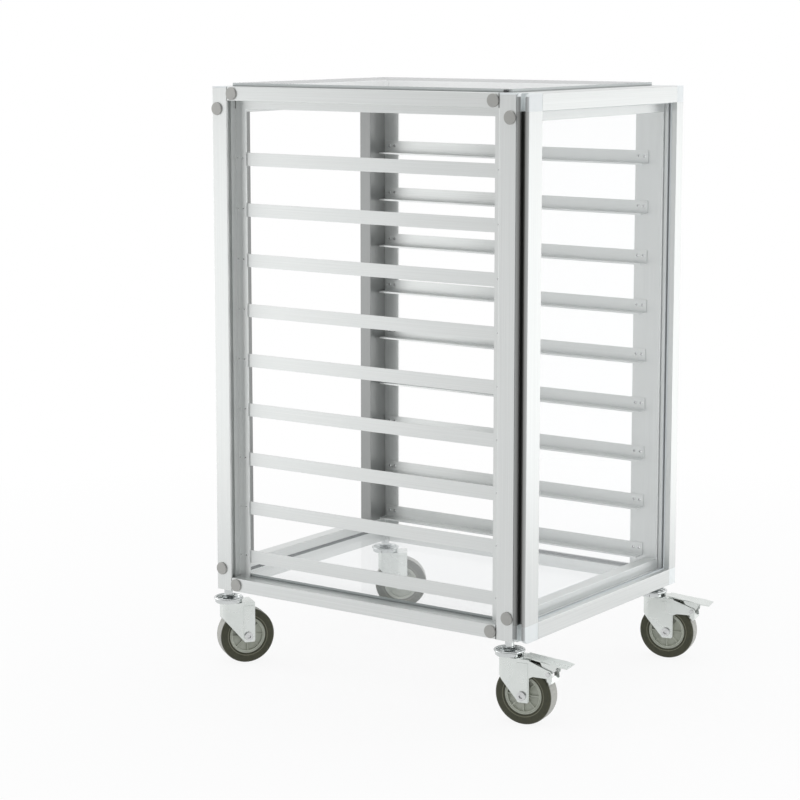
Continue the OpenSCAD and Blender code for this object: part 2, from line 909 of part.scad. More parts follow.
// Outline of a fork leg in trail and height, with the arm of a braked fork
module leg_section(braked) {
    heel_u = trail - leg_heel + leg_corner_r;
    heel_z = axle_z - leg_drop + leg_corner_r;
    reach = norm([heel_u - leg_back_u, leg_back_z - heel_z]);
    lean = atan2(leg_back_z - heel_z, leg_back_u - heel_u);
    tangent = lean + acos(leg_corner_r / reach);
    difference() {
        union() {
            polygon([
                [leg_back_u, crown_top],
                [leg_back_u, leg_back_z],
                [heel_u + leg_corner_r * cos(tangent), heel_z + leg_corner_r * sin(tangent)],
                [heel_u, heel_z],
                [heel_u, axle_z - leg_drop],
                [leg_front_u - leg_corner_r, axle_z - leg_drop],
                [leg_front_u - leg_corner_r, heel_z],
                [leg_front_u, heel_z],
                [leg_front_u, crown_top]
            ]);
            for (u = [heel_u, leg_front_u - leg_corner_r])
                translate([u, heel_z]) circle(leg_corner_r);
            if (braked) {
                arm_root = leg_front_u - beyond;
                polygon([
                    [arm_root, crown_top - 1],
                    [pedal_pin_u, pedal_pin_z + arm_end_r],
                    [pedal_pin_u, pedal_pin_z - arm_end_r],
                    [arm_root + 2 * arm_rise, pedal_pin_z - arm_end_r],
                    [arm_root, pedal_pin_z - arm_end_r - arm_rise]
                ]);
                translate([pedal_pin_u, pedal_pin_z]) circle(arm_end_r);
            }
        }
        translate([trail, axle_z]) circle(axle_r + running_play);
        if (braked)
            translate([pedal_pin_u, pedal_pin_z]) circle(pedal_pin_r + running_play);
    }
}

// Outline of the fork from above, bent round behind the wheel, drawn in by an inset
module fork_plan(inset, length) {
    half = fork_gap / 2 + fork_t - inset;
    bend_r = fork_bend_r - inset;
    bend_u = leg_back_u + fork_bend_r;
    translate([bend_u, -half]) square([length - fork_bend_r, 2 * half]);
    translate([leg_back_u + inset, -half + bend_r])
        square([fork_bend_r, 2 * (half - bend_r)]);
    for (side = [-1, 1])
        translate([bend_u, side * (half - bend_r)]) circle(bend_r);
}

module caster_fork(braked) {
    half = fork_gap / 2 + fork_t;
    crown_l = leg_front_u - leg_back_u;
    full_l = pedal_pin_u + arm_end_r + beyond - leg_back_u;
    color(zinc) difference() {
        union() {
            // Legs, bent from one sheet round the back of the wheel
            intersection() {
                linear_extrude(crown_top) difference() {
                    fork_plan(0, full_l);
                    fork_plan(fork_t, full_l + beyond);
                }
                translate([0, -half - beyond, 0]) along_y(2 * half + 2 * beyond)
                    leg_section(braked);
            }
            // Crown plate
            translate([0, 0, crown_bottom]) linear_extrude(fork_t) fork_plan(0, crown_l);
            // Pressed band down each leg
            for (side = [0, 1])
                mirror([0, side, 0]) translate([0, half, 0]) along_y(press_t) intersection() {
                    leg_section(false);
                    translate([trail - leg_heel, 0])
                        square([leg_heel + leg_front - leg_corner_r / 2, press_top]);
                }
            // Lower race
            translate([0, 0, crown_top - beyond])
                cylinder(r = lower_race_r, h = lower_race_h + beyond);
        }
        translate([0, 0, crown_bottom - beyond])
            cylinder(
                r = king_r + running_play,
                h = fork_t + lower_race_h + 2 * beyond
            );
    }
}

// Axle bolt with its head and nut, and the pedal's pin on a braked caster
module caster_axle(braked) {
    half = fork_gap / 2 + fork_t;
    seat = half + press_t;
    color(steel) {
        translate([trail, 0, axle_z]) rotate([90, 0, 0]) {
            translate([0, 0, -seat]) cylinder(r = axle_r, h = 2 * seat);
            difference() {
                translate([0, 0, seat]) cylinder(r = axle_head_r, h = axle_head_h);
                translate([0, 0, seat + 1]) cylinder(r = socket_r, h = axle_head_h, $fn = 6);
            }
            translate([0, 0, -seat - axle_head_h])
                cylinder(r = axle_head_r, h = axle_head_h, $fn = 6);
        }
        if (braked)
            translate([pedal_pin_u, 0, pedal_pin_z]) rotate([90, 0, 0]) {
                translate([0, 0, -half - 1]) cylinder(r = pedal_pin_r, h = 2 * half + 2);
                for (side = [0, 1])
                    mirror([0, 0, side]) translate([0, 0, half])
                        cylinder(r = pin_head_r, h = pin_head_t);
            }
    }
}

// Hub with its bore, web, rim and the ribs between boss and rim
module caster_hub() {
    boss_w = fork_gap - 2 * free_play;
    web_w = wheel_w - 2 * hub_web_inset;
    rib_w = wheel_w - 2 * hub_rim_inset - 2;
    color(hub_grey)
        translate([trail, 0, axle_z]) rotate([90, 0, 0]) difference() {
            union() {
                rotate_extrude() {
                    translate([0, -boss_w / 2]) square([boss_r, boss_w]);
                    translate([0, -web_w / 2]) square([hub_r - hub_rim_t + 1, web_w]);
                    difference() {
                        translate([hub_r - hub_rim_t, -wheel_w / 2 + hub_rim_inset])
                            square([hub_rim_t - push_play, wheel_w - 2 * hub_rim_inset]);
                        for (side = [-1, 1])
                            translate([hub_r - hub_rim_t / 2, side * (wheel_w / 2 - hub_rim_inset)])
                                circle(0.8, $fn = 4);
                    }
                }
                for (i = [1 : hub_ribs / 2])
                    rotate([0, 0, i * 360 / hub_ribs])
                        translate([-hub_r + hub_rim_t / 2, -rib_t / 2, -rib_w / 2])
                            cube([2 * hub_r - hub_rim_t, rib_t, rib_w]);
            }
            translate([0, 0, -fork_gap]) cylinder(r = axle_r + running_play, h = 2 * fork_gap);
        }
}

// Tyre with round shoulders and a lower band at the hub
module caster_tyre() {
    outer = wheel_d / 2;
    face_r = outer - tyre_shoulder;
    color(tyre_grey)
        translate([trail, 0, axle_z]) rotate([90, 0, 0]) rotate_extrude() {
            translate([hub_r, -wheel_w / 2 + 1]) square([face_r - hub_r, wheel_w - 2]);
            translate([hub_r + tyre_band, -wheel_w / 2])
                square([face_r - hub_r - tyre_band, wheel_w]);
            translate([hub_r, -wheel_w / 2 + tyre_shoulder])
                square([outer - hub_r, wheel_w - 2 * tyre_shoulder]);
            for (side = [-1, 1])
                translate([face_r, side * (wheel_w / 2 - tyre_shoulder)])
                    circle(tyre_shoulder);
        }
}

// Height of the middle of the pedal's foot plate at a distance from the swivel axis
function plate_z(u) = pedal_inner_z + pedal_t / 2 - (u - pedal_inner_u) * tan(pedal_slope);

// Brake pedal with its two cheeks and the shoe that presses on the tyre
module brake_pedal() {
    cheek_y = fork_gap / 2 - free_play;
    plate_l = norm([pedal_drop, pedal_reach - pedal_inner_u]);
    hang = [shoe_u - pedal_pin_u, shoe_z - pedal_pin_z];
    color(zinc) difference() {
        union() {
            // Foot plate, widened towards its end
            translate([pedal_inner_u, 0, pedal_inner_z]) rotate([0, pedal_slope, 0])
                linear_extrude(pedal_t)
                    polygon([
                        [0, -pedal_w / 2 + 6],
                        [plate_l * 0.55, -pedal_w / 2 + 3],
                        [plate_l * 0.8, -pedal_w / 2],
                        [plate_l, -pedal_w / 2 + 3],
                        [plate_l, pedal_w / 2 - 3],
                        [plate_l * 0.8, pedal_w / 2],
                        [plate_l * 0.55, pedal_w / 2 - 3],
                        [0, pedal_w / 2 - 6]
                    ]);
            // Cheeks from the plate past the pin down to the shoe
            for (side = [0, 1])
                mirror([0, side, 0]) translate([0, cheek_y - pedal_t, 0]) along_y(pedal_t) {
                    translate([pedal_pin_u, pedal_pin_z]) circle(cheek_r);
                    polygon([
                        [pedal_pin_u - cheek_r, pedal_pin_z],
                        [pedal_pin_u + cheek_r, pedal_pin_z],
                        [pedal_pin_u + cheek_root, plate_z(pedal_pin_u + cheek_root)],
                        [pedal_pin_u - cheek_root, plate_z(pedal_pin_u - cheek_root)]
                    ]);
                    translate([pedal_pin_u, pedal_pin_z])
                        rotate(atan2(hang[1], hang[0])) translate([0, -shoe_l / 2])
                            square([norm(hang), shoe_l]);
                }
            // Shoe, a block across the tyre between the cheeks
            translate([trail, 0, axle_z]) rotate([0, -shoe_turn, 0])
                translate([wheel_d / 2 + shoe_gap, -cheek_y, -shoe_l / 2])
                    cube([shoe_t, 2 * cheek_y, shoe_l]);
        }
        translate([pedal_pin_u, 0, pedal_pin_z]) rotate([90, 0, 0])
            translate([0, 0, -fork_gap])
                cylinder(r = pedal_pin_r + running_play, h = 2 * fork_gap);
    }
}

post_front_left();
post_front_right();
post_rear_left();
post_rear_right();
post_plugs();
top_rail_front();
top_rail_rear();
base_rail_front();
base_rail_rear();
top_end_rail_left();
top_end_rail_right();
base_end_rail_left();
base_end_rail_right();
tray_stops();
joint_caps();
end_rail_bolts();
corner_cams();
top_sheet();
floor_sheet();
tray_runners(1);  // tray_runners_1
tray_runners(2);  // tray_runners_2
tray_runners(3);  // tray_runners_3
tray_runners(4);  // tray_runners_4
tray_runners(5);  // tray_runners_5
tray_runners(6);  // tray_runners_6
tray_runners(7);  // tray_runners_7
tray_runners(8);  // tray_runners_8
tray_runners(9);  // tray_runners_9
runner_screws();
door_handle_stile();
door_hinge_stile();
door_base_rail();
door_top_rail();
door_corners();
door_pane();
hinge_leaves_frame();
hinge_leaves_door();
hinge_pins();
at_front_left() caster_mount();  // mount_front_left
at_rear_left() caster_mount();  // mount_rear_left
at_front_right() caster_mount();  // mount_front_right
at_rear_right() caster_mount();  // mount_rear_right
at_front_left() caster_fork(false);  // fork_front_left
at_rear_left() caster_fork(false);  // fork_rear_left
at_front_right() caster_fork(true);  // fork_front_right
at_rear_right() caster_fork(true);  // fork_rear_right
at_front_left() caster_axle(false);  // axle_front_left
at_rear_left() caster_axle(false);  // axle_rear_left
at_front_right() caster_axle(true);  // axle_front_right
at_rear_right() caster_axle(true);  // axle_rear_right
at_front_left() caster_hub();  // hub_front_left
at_rear_left() caster_hub();  // hub_rear_left
at_front_right() caster_hub();  // hub_front_right
at_rear_right() caster_hub();  // hub_rear_right
at_front_left() caster_tyre();  // tyre_front_left
at_rear_left() caster_tyre();  // tyre_rear_left
at_front_right() caster_tyre();  // tyre_front_right
at_rear_right() caster_tyre();  // tyre_rear_right
at_front_right() brake_pedal();  // pedal_front_right
at_rear_right() brake_pedal();  // pedal_rear_right
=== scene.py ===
# Looks of the bakery rack trolley: finishes, small fasteners, light and camera, all in
# metres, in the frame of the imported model.
import json
import math
import bmesh
import bpy
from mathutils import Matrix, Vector


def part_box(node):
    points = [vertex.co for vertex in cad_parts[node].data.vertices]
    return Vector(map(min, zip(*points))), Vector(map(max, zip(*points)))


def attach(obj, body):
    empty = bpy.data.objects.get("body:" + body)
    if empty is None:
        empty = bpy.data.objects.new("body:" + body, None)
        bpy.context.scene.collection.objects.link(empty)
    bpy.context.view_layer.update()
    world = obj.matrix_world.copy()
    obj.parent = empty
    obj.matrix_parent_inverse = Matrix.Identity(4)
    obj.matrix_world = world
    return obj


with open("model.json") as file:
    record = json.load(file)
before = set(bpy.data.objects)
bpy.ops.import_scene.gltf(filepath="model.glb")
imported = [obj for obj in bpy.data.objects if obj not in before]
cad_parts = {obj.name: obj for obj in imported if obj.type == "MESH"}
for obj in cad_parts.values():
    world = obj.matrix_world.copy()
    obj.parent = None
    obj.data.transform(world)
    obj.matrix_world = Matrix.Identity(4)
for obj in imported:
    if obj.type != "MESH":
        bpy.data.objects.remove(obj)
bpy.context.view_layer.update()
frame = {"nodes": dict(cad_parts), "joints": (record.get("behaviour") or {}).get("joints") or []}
nodes = frame["nodes"]

X, Y, Z = 0, 1, 2
CORNERS = ("front_left", "rear_left", "front_right", "rear_right")
STILE_LOW, STILE_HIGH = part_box("door_handle_stile")
RAIL_LOW, RAIL_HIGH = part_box("top_rail_front")


# Node helpers

def new_node(tree, kind, how=None):
    """A shader node of a kind, set to an operation where it has one."""
    node = tree.nodes.new("ShaderNode" + kind)
    if how:
        node.operation = how
    return node


def empty_tree(owner, output_kind):
    """Node tree of a material or world with nothing but its output."""
    owner.use_nodes = True
    tree = owner.node_tree
    tree.nodes.clear()
    return tree, new_node(tree, output_kind)


def new_material(name):
    """A material with only its Principled shader."""
    mat = bpy.data.materials.new(name)
    tree, out = empty_tree(mat, "OutputMaterial")
    shader = new_node(tree, "BsdfPrincipled")
    tree.links.new(shader.outputs[0], out.inputs["Surface"])
    return mat, tree, shader


def feed(tree, socket, value):
    """Links a socket to another one, or sets it to plain numbers."""
    if isinstance(value, bpy.types.NodeSocket):
        tree.links.new(value, socket)
    else:
        socket.default_value = value


def maths(tree, how, *values):
    """The result of a Math node on one or two values."""
    node = new_node(tree, "Math", how)
    for socket, value in zip(node.inputs, values):
        feed(tree, socket, value)
    return node.outputs[0]


def vector_maths(tree, how, *values):
    """The result of a Vector Math node: a number for a product or a length."""
    node = new_node(tree, "VectorMath", how)
    for socket, value in zip(node.inputs, values):
        feed(tree, socket, value)
    return node.outputs["Value" if how in ("DOT_PRODUCT", "LENGTH") else "Vector"]


def product(tree, first, *others):
    """All values multiplied with each other."""
    for other in others:
        first = maths(tree, "MULTIPLY", first, other)
    return first


def object_place(tree):
    """The place on the object, in metres."""
    return new_node(tree, "TexCoord").outputs["Object"]


def along_axis(tree, vector, axis):
    """One of a vector's three numbers."""
    split = new_node(tree, "SeparateXYZ")
    tree.links.new(vector, split.inputs[0])
    return split.outputs[axis]


def to_range(tree, value, low, high, from_low=0.3, from_high=0.7):
    """A value spread from one range to another and held inside it. Without a range of its
    own, a value is taken to be noise."""
    spread = new_node(tree, "MapRange")
    spread.inputs["From Min"].default_value = from_low
    spread.inputs["From Max"].default_value = from_high
    spread.inputs["To Min"].default_value = low
    spread.inputs["To Max"].default_value = high
    tree.links.new(value, spread.inputs["Value"])
    return spread.outputs["Result"]


def mix_values(tree, fac, first, second):
    """A number between two others, each a socket or plain."""
    mix = new_node(tree, "Mix")
    tree.links.new(fac, mix.inputs["Factor"])
    feed(tree, mix.inputs[2], first)
    feed(tree, mix.inputs[3], second)
    return mix.outputs[0]


def mix_colours(tree, fac, first, second):
    """A colour between two others, each a socket or three plain numbers."""
    mix = new_node(tree, "Mix")
    mix.data_type = "RGBA"
    tree.links.new(fac, mix.inputs["Factor"])
    for socket, colour in ((mix.inputs[6], first), (mix.inputs[7], second)):
        feed(tree, socket, (*colour, 1) if isinstance(colour, tuple) else colour)
    return mix.outputs[2]


def mix_shaders(tree, fac, first, second):
    """One shader where the factor is 0 and the other where it is 1."""
    mix = new_node(tree, "MixShader")
    tree.links.new(fac, mix.inputs["Fac"])
    tree.links.new(first, mix.inputs[1])
    tree.links.new(second, mix.inputs[2])
    return mix.outputs[0]


def noise_at(tree, scale, stretch=(1, 1, 1), detail=4.0):
    """Noise in the object's own place, stretched along an axis."""
    mapping = new_node(tree, "Mapping")
    mapping.inputs["Scale"].default_value = stretch
    tree.links.new(object_place(tree), mapping.inputs["Vector"])
    noise = new_node(tree, "TexNoise")
    noise.inputs["Scale"].default_value = scale
    noise.inputs["Detail"].default_value = detail
    tree.links.new(mapping.outputs[0], noise.inputs["Vector"])
    return noise.outputs["Fac"]


def add_bump(tree, shader, height, strength, distance):
    """Fine relief from a height."""
    bump = new_node(tree, "Bump")
    bump.inputs["Strength"].default_value = strength
    bump.inputs["Distance"].default_value = distance
    tree.links.new(height, bump.inputs["Height"])
    tree.links.new(bump.outputs[0], shader.inputs["Normal"])


def seen_by(tree, *rays):
    """1 for rays of any of these kinds and 0 for others."""
    path = new_node(tree, "LightPath")
    seen = path.outputs[f"Is {rays[0]} Ray"]
    for ray in rays[1:]:
        seen = maths(tree, "MAXIMUM", seen, path.outputs[f"Is {ray} Ray"])
    return seen


# Painted shade on only part of a node

GROOVE_HALF = 0.0075            # half the width of the groove's channel
GROOVE_BORDER = 0.0001
GROOVE_FALL = (0.0005, 0.005)   # depths between which the painted groove shade deepens
GROOVE_MOST = 0.9               # share of painted shade there
GROOVE_END = 0.0004             # over which its shade ends
FLANK_GAPS = (0.002, 0.001)     # from the groove's middle to the flanks' full shade
FLANK_LEAST = (0.55, 0.3)       # shares of painted shade at the flanks' outer sides
FACE_SKIN = (0.0006, 0.0012)    # depths over which the shade of the front face ends
SIDE_SKIN = (0.0012, 0.0002)    # the same before the outer side
SEAM_SHADE = (0.0006, 0.0016)         # over which the painted shade at a rail's end fades


def painted_grip_shade(tree, depth):
    """Painted shade of the finger groove in the door's edge: dark inside down to a depth, and
    falling off over the flanks beside its mouth."""
    place = object_place(tree)
    x, y = along_axis(tree, place, X), along_axis(tree, place, Y)
    middle = (STILE_LOW.x + STILE_HIGH.x) / 2
    left, right = middle - GROOVE_HALF, middle + GROOVE_HALF
    face, bottom = STILE_LOW.y, STILE_LOW.y + depth
    groove_shade = product(
        tree,
        to_range(tree, x, 0, 1, left - GROOVE_BORDER, left + GROOVE_BORDER),
        to_range(tree, x, 1, 0, right - GROOVE_BORDER, right + GROOVE_BORDER),
        to_range(tree, y, 0, GROOVE_MOST, face + GROOVE_FALL[0], face + GROOVE_FALL[1]),
        to_range(tree, y, 1, 0, bottom, bottom + GROOVE_END))
    flank_shade = product(
        tree,
        to_range(tree, x, FLANK_LEAST[0], 1, STILE_LOW.x, middle - FLANK_GAPS[0]),
        to_range(tree, x, 1, FLANK_LEAST[1], middle + FLANK_GAPS[1], STILE_HIGH.x),
        to_range(tree, y, 1, 0, face + FACE_SKIN[0], face + FACE_SKIN[1]),
        to_range(tree, x, 1, 0, STILE_HIGH.x - SIDE_SKIN[0], STILE_HIGH.x - SIDE_SKIN[1]))
    return maths(tree, "MAXIMUM", groove_shade, flank_shade)


def painted_seam_shade(tree):
    """Thin painted shade at both ends of a rail, where it meets the posts."""
    x = along_axis(tree, object_place(tree), X)
    return maths(tree, "MAXIMUM",
                 to_range(tree, x, 1, 0, RAIL_LOW.x + SEAM_SHADE[0], RAIL_LOW.x + SEAM_SHADE[1]),
                 to_range(tree, x, 0, 1, RAIL_HIGH.x - SEAM_SHADE[1], RAIL_HIGH.x - SEAM_SHADE[0]))


# Materials

ALU_COLOURS = ((0.655, 0.67, 0.66), (0.735, 0.75, 0.74), (0.675, 0.70, 0.695))
ALU_METAL, PLATE_METAL = 0.7, 0.95
DIE_LINES = (260.0, 1.2)            # how fine they are across and along the profile
# Colour of the painted shade in grooves and at joints
PAINTED_SHADE_DARK = (0.06, 0.06, 0.055)
SHEET_FACE = (0.93, 0.97, 0.98)
SHEET_INSIDE_SHADE = (0.06, 0.065, 0.07)  # painted shade of cut edges seen from inside, through the sheet
SHEET_IOR = 1.45
SHEET_TURN = (0.4, 0.6)             # share of the normal that tells a face from an edge
SHEET_HAZE_SPREAD = (0.7, 1.3)
SHEET_FACE_ROUGH, SHEET_EDGE_ROUGH = (0.03, 0.09), (0.40, 0.55)
SHEET_EDGE_ALPHA = 0.94
SHEET_MOST_ALPHA = 0.6              # at which the mirroring faces stay see-through
SHEET_SHADOW_BAND = 0.003              # height over which a cut edge has a painted contact shadow
# tone of that painted contact shadow
SHEET_SHADOW_TONE = 0.45
TREAD_HALF = 0.0135                 # half the width of the running tread
TREAD_BORDER = 0.0007
TYRE_RING = 0.0378                  # radius of the ring round the tyre's side
RING_EDGE = (0.0005, 0.0011)
TYRE_SIDE = ((0.034, 0.036, 0.018), (0.058, 0.059, 0.032))
TYRE_TREAD = ((0.40, 0.40, 0.37), (0.50, 0.50, 0.46))
TYRE_RING_COLOUR = (0.17, 0.17, 0.12)


def anodised(name, along, tone=1.0, shade=None):
    """Satin anodised aluminium with the fine die lines of an extrusion along one axis, and
    painted shade where a maker of that shade is given."""
    mat, tree, shader = new_material(name)
    across, lengthwise = DIE_LINES
    stretch = [lengthwise if axis == along else across for axis in (X, Y, Z)]
    lines = noise_at(tree, 3.0, stretch, detail=5.0)
    cloud = noise_at(tree, 7.0, detail=3.0)
    dark, light, cool = (tuple(tone * c for c in colour) for colour in ALU_COLOURS)
    tint = mix_colours(tree, to_range(tree, lines, 0, 1), dark, light)
    tint = mix_colours(tree, to_range(tree, cloud, 0, 0.35), tint, cool)
    if shade:
        tint = mix_colours(tree, shade(tree), tint, PAINTED_SHADE_DARK)
    tree.links.new(tint, shader.inputs["Base Color"])
    tree.links.new(to_range(tree, lines, 0.30, 0.40), shader.inputs["Roughness"])
    shader.inputs["Metallic"].default_value = ALU_METAL
    add_bump(tree, shader, lines, strength=0.12, distance=0.0002)
    return mat


def plated(name, base, tint, rough, scale):
    """Bright plate with its faint clouds and a grain twelve times as fine."""
    mat, tree, shader = new_material(name)
    cloud = noise_at(tree, scale)
    grain = noise_at(tree, scale * 12, detail=2.0)
    colour = mix_colours(tree, to_range(tree, cloud, 0, 1), base, tint)
    tree.links.new(colour, shader.inputs["Base Color"])
    tree.links.new(to_range(tree, cloud, rough - 0.03, rough + 0.05), shader.inputs["Roughness"])
    shader.inputs["Metallic"].default_value = PLATE_METAL
    add_bump(tree, shader, grain, strength=0.04, distance=0.0001)
    return mat


def moulded(name, base, worn, rough, metal=0.0, shade=None):
    """Moulded plastic with a fine grain and slight wear, with some metal in its paint and
    painted shade where a maker of that shade is given."""
    mat, tree, shader = new_material(name)
    grain = noise_at(tree, 1400.0, detail=2.0)
    cloud = noise_at(tree, 60.0)
    colour = mix_colours(tree, to_range(tree, cloud, 0, 1), base, worn)
    if shade:
        colour = mix_colours(tree, shade(tree), colour, PAINTED_SHADE_DARK)
    tree.links.new(colour, shader.inputs["Base Color"])
    tree.links.new(to_range(tree, cloud, rough - 0.05, rough + 0.1), shader.inputs["Roughness"])
    shader.inputs["Metallic"].default_value = metal
    add_bump(tree, shader, grain, strength=0.15, distance=0.0001)
    return mat


def clear_sheet(name, node, axis, edge, haze):
    """Clear sheet whose faces look along an axis: see-through faces that mirror at a low
    angle, with a slight haze, and cut edges with a painted shadow low down and painted shade
    where seen from inside."""
    mat, tree, shader = new_material(name)
    smear = noise_at(tree, 9.0, (1, 1, 0.4), detail=5.0)
    geometry = new_node(tree, "NewGeometry")
    inside = geometry.outputs["Backfacing"]
    facing = maths(tree, "ABSOLUTE", along_axis(tree, geometry.outputs["True Normal"], axis))
    is_edge = to_range(tree, facing, 1, 0, *SHEET_TURN)

    low_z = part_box(node)[0].z
    height = along_axis(tree, object_place(tree), Z)
    # Painted contact shadow low on the cut edges, then painted shade on edges seen from inside
    cut = mix_colours(tree, to_range(tree, height, 0, 1, low_z, low_z + SHEET_SHADOW_BAND),
                      tuple(SHEET_SHADOW_TONE * c for c in edge), edge)
    cut = mix_colours(tree, inside, cut, SHEET_INSIDE_SHADE)
    tree.links.new(mix_colours(tree, is_edge, SHEET_FACE, cut), shader.inputs["Base Color"])
    tree.links.new(is_edge, shader.inputs["Metallic"])

    fresnel = new_node(tree, "Fresnel")
    fresnel.inputs["IOR"].default_value = SHEET_IOR
    haze_low, haze_high = (haze * share for share in SHEET_HAZE_SPREAD)
    shown = maths(tree, "ADD", fresnel.outputs[0], to_range(tree, smear, haze_low, haze_high))
    shown = to_range(tree, shown, 0, SHEET_MOST_ALPHA, 0, SHEET_MOST_ALPHA)
    shown = mix_values(tree, inside, shown, 0.0)
    alpha = mix_values(tree, is_edge, shown, SHEET_EDGE_ALPHA)
    tree.links.new(alpha, shader.inputs["Alpha"])
    rough = mix_values(tree, is_edge, to_range(tree, smear, *SHEET_FACE_ROUGH),
                       to_range(tree, smear, *SHEET_EDGE_ROUGH))
    tree.links.new(rough, shader.inputs["Roughness"])
    return mat


def tyre_rubber(name, corner):
    """Dark rubber with a lighter running tread in the middle of its width and a pale
    moulded ring round each side."""
    mat, tree, shader = new_material(name)
    low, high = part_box("tyre_" + corner)
    axle = next(j for j in frame["joints"] if j["name"] == "roll_" + corner)["axis"]
    place = vector_maths(tree, "SUBTRACT", object_place(tree), (low + high) / 2)
    off_middle = maths(tree, "ABSOLUTE", vector_maths(tree, "DOT_PRODUCT", place, axle))
    tread = to_range(tree, off_middle, 1, 0,
                     TREAD_HALF - TREAD_BORDER, TREAD_HALF + TREAD_BORDER)
    radius = vector_maths(tree, "LENGTH", vector_maths(tree, "CROSS_PRODUCT", place, axle))
    off_ring = maths(tree, "ABSOLUTE", maths(tree, "SUBTRACT", radius, TYRE_RING))
    ring = to_range(tree, off_ring, 1, 0, *RING_EDGE)
    dust = noise_at(tree, 160.0, detail=6.0)
    side, run = (mix_colours(tree, to_range(tree, dust, 0, 1), *colours)
                 for colours in (TYRE_SIDE, TYRE_TREAD))
    side = mix_colours(tree, ring, side, TYRE_RING_COLOUR)
    tree.links.new(mix_colours(tree, tread, side, run), shader.inputs["Base Color"])
    tree.links.new(to_range(tree, dust, 0.5, 0.7), shader.inputs["Roughness"])
    add_bump(tree, shader, dust, strength=0.25, distance=0.0003)
    return mat


# Finishes of the CAD nodes

PALE_COLOURS = ((0.83, 0.87, 0.87), (0.87, 0.90, 0.90))
PALE_ROUGH = 0.42
CUT_EDGE = (0.34, 0.37, 0.37)
TOP_EDGE = (0.60, 0.63, 0.63)
GROOVE_DEPTH = 0.0156
BLOCK_GROOVE_DEPTH = 0.0012     # the corner blocks have no groove; its painted shade runs over them as a thin line

ALU = [anodised("aluminium_along_" + letter, axis) for axis, letter in enumerate("xyz")]
# A darker copy of the aluminium, painted with the shade the tray stops sit in
PAINTED_SHADE_ALU = anodised("painted_shade_aluminium_along_z", Z, tone=0.42)
# Painted shade inside the stile's finger groove and over its flanks
GRIP_ALU = anodised("grip_aluminium_painted_shade_along_z", Z,
                    shade=lambda tree: painted_grip_shade(tree, GROOVE_DEPTH))
# Painted shade at the rails' ends where they meet the posts
RAIL_ALU = anodised("rail_aluminium_painted_seam_shade_along_x", X, shade=painted_seam_shade)
ZINC = plated("zinc_plate", (0.66, 0.69, 0.67), (0.74, 0.77, 0.75), 0.26, 25.0)
RACE = plated("race_chrome", (0.56, 0.58, 0.58), (0.64, 0.66, 0.66), 0.08, 40.0)
STEEL = plated("fastener_steel", (0.54, 0.55, 0.55), (0.66, 0.67, 0.67), 0.18, 160.0)
HINGE = plated("hinge_steel", (0.64, 0.65, 0.66), (0.70, 0.71, 0.72), 0.32, 60.0)
CAP = moulded("cap_plastic", (0.37, 0.37, 0.355), (0.42, 0.42, 0.40), 0.4, metal=0.6)
PALE = moulded("pale_plastic", *PALE_COLOURS, PALE_ROUGH)
# Painted shade of the finger groove on the corner blocks, which have no groove
PALE_PAINTED_GRIP_SHADE = moulded("pale_plastic_painted_grip_shade", *PALE_COLOURS, PALE_ROUGH,
                    shade=lambda tree: painted_grip_shade(tree, BLOCK_GROOVE_DEPTH))
HUB = moulded("hub_plastic", (0.41, 0.43, 0.36), (0.50, 0.52, 0.45), 0.5)
TOP_SHEET = clear_sheet("clear_top_sheet", "top_sheet", Z, TOP_EDGE, haze=0.03)
FLOOR_SHEET = clear_sheet("clear_floor_sheet", "floor_sheet", Z, CUT_EDGE, haze=0.03)
PANE = clear_sheet("clear_door_pane", "door_pane", X, CUT_EDGE, haze=0.04)

# How the names of the nodes with each finish start. The first row that fits is taken.
FINISHES = (
    (PALE, ("post_plugs",)),
    (PALE_PAINTED_GRIP_SHADE, ("door_corners",)),
    (PAINTED_SHADE_ALU, ("tray_stops",)),
    (GRIP_ALU, ("door_handle_stile",)),
    (ALU[Z], ("post_", "door_hinge_stile")),
    (STEEL, ("end_rail_bolts", "corner_cams", "runner_screws", "hinge_pins", "axle")),
    (ALU[Y], ("top_end_rail", "base_end_rail", "door_base_rail", "door_top_rail")),
    (RAIL_ALU, ("top_rail", "base_rail")),
    (ALU[X], ("tray_runners",)),
    (CAP, ("joint_caps",)),
    (HINGE, ("hinge_leaves",)),
    (RACE, ("mount",)),
    (ZINC, ("fork", "pedal")),
    (HUB, ("hub",)),
    (PANE, ("door_pane",)),
    (TOP_SHEET, ("top_sheet",)),
    (FLOOR_SHEET, ("floor_sheet",)),
)


def paint(name, mat):
    """Gives a CAD node its material."""
    mesh = nodes[name].data
    mesh.materials.clear()
    mesh.materials.append(mat)


for name in nodes:
    for finish, starts in FINISHES:
        if name.startswith(starts):
            paint(name, finish)
            break
for corner in CORNERS:
    paint("tyre_" + corner, tyre_rubber("tyre_rubber_" + corner, corner))


# Small pieces, set against the CAD solids that carry them

LEAF_T = 0.002                  # thickness of a hinge leaf
LEAF_SCREW_IN = 0.0086          # from the leaf's outer edge to its screws
LEAF_SCREW_STEP = 0.02
HEAD_R, HEAD_RISE = 0.0032, 0.0003
HEAD_SLOT_UP = 0.0002           # from the leaf's face to where the painted slot shadows start
SEAL_R, SEAL_STEPS = 0.0016, 5
BUFFER_IN = 0.0034              # from the rail's end to the buffer's middle
BUFFER_GAP = 0.0036             # from the top sheet's edge to it
BUFFER_HALF_X, BUFFER_HALF_Y, BUFFER_H = 0.0026, 0.0030, 0.0046
BUFFER_ROUND = 0.0008
# Near-black, painted as the shadow inside the screws' cross slots
SHADOW = moulded("screw_slot_shadow", (0.03, 0.03, 0.03), (0.05, 0.05, 0.05), 0.7)
SEAL = moulded("clear_seal", (0.60, 0.64, 0.65), (0.66, 0.70, 0.71), 0.35)
BUFFER = moulded("buffer_rubber", (0.07, 0.07, 0.07), (0.11, 0.11, 0.11), 0.6)


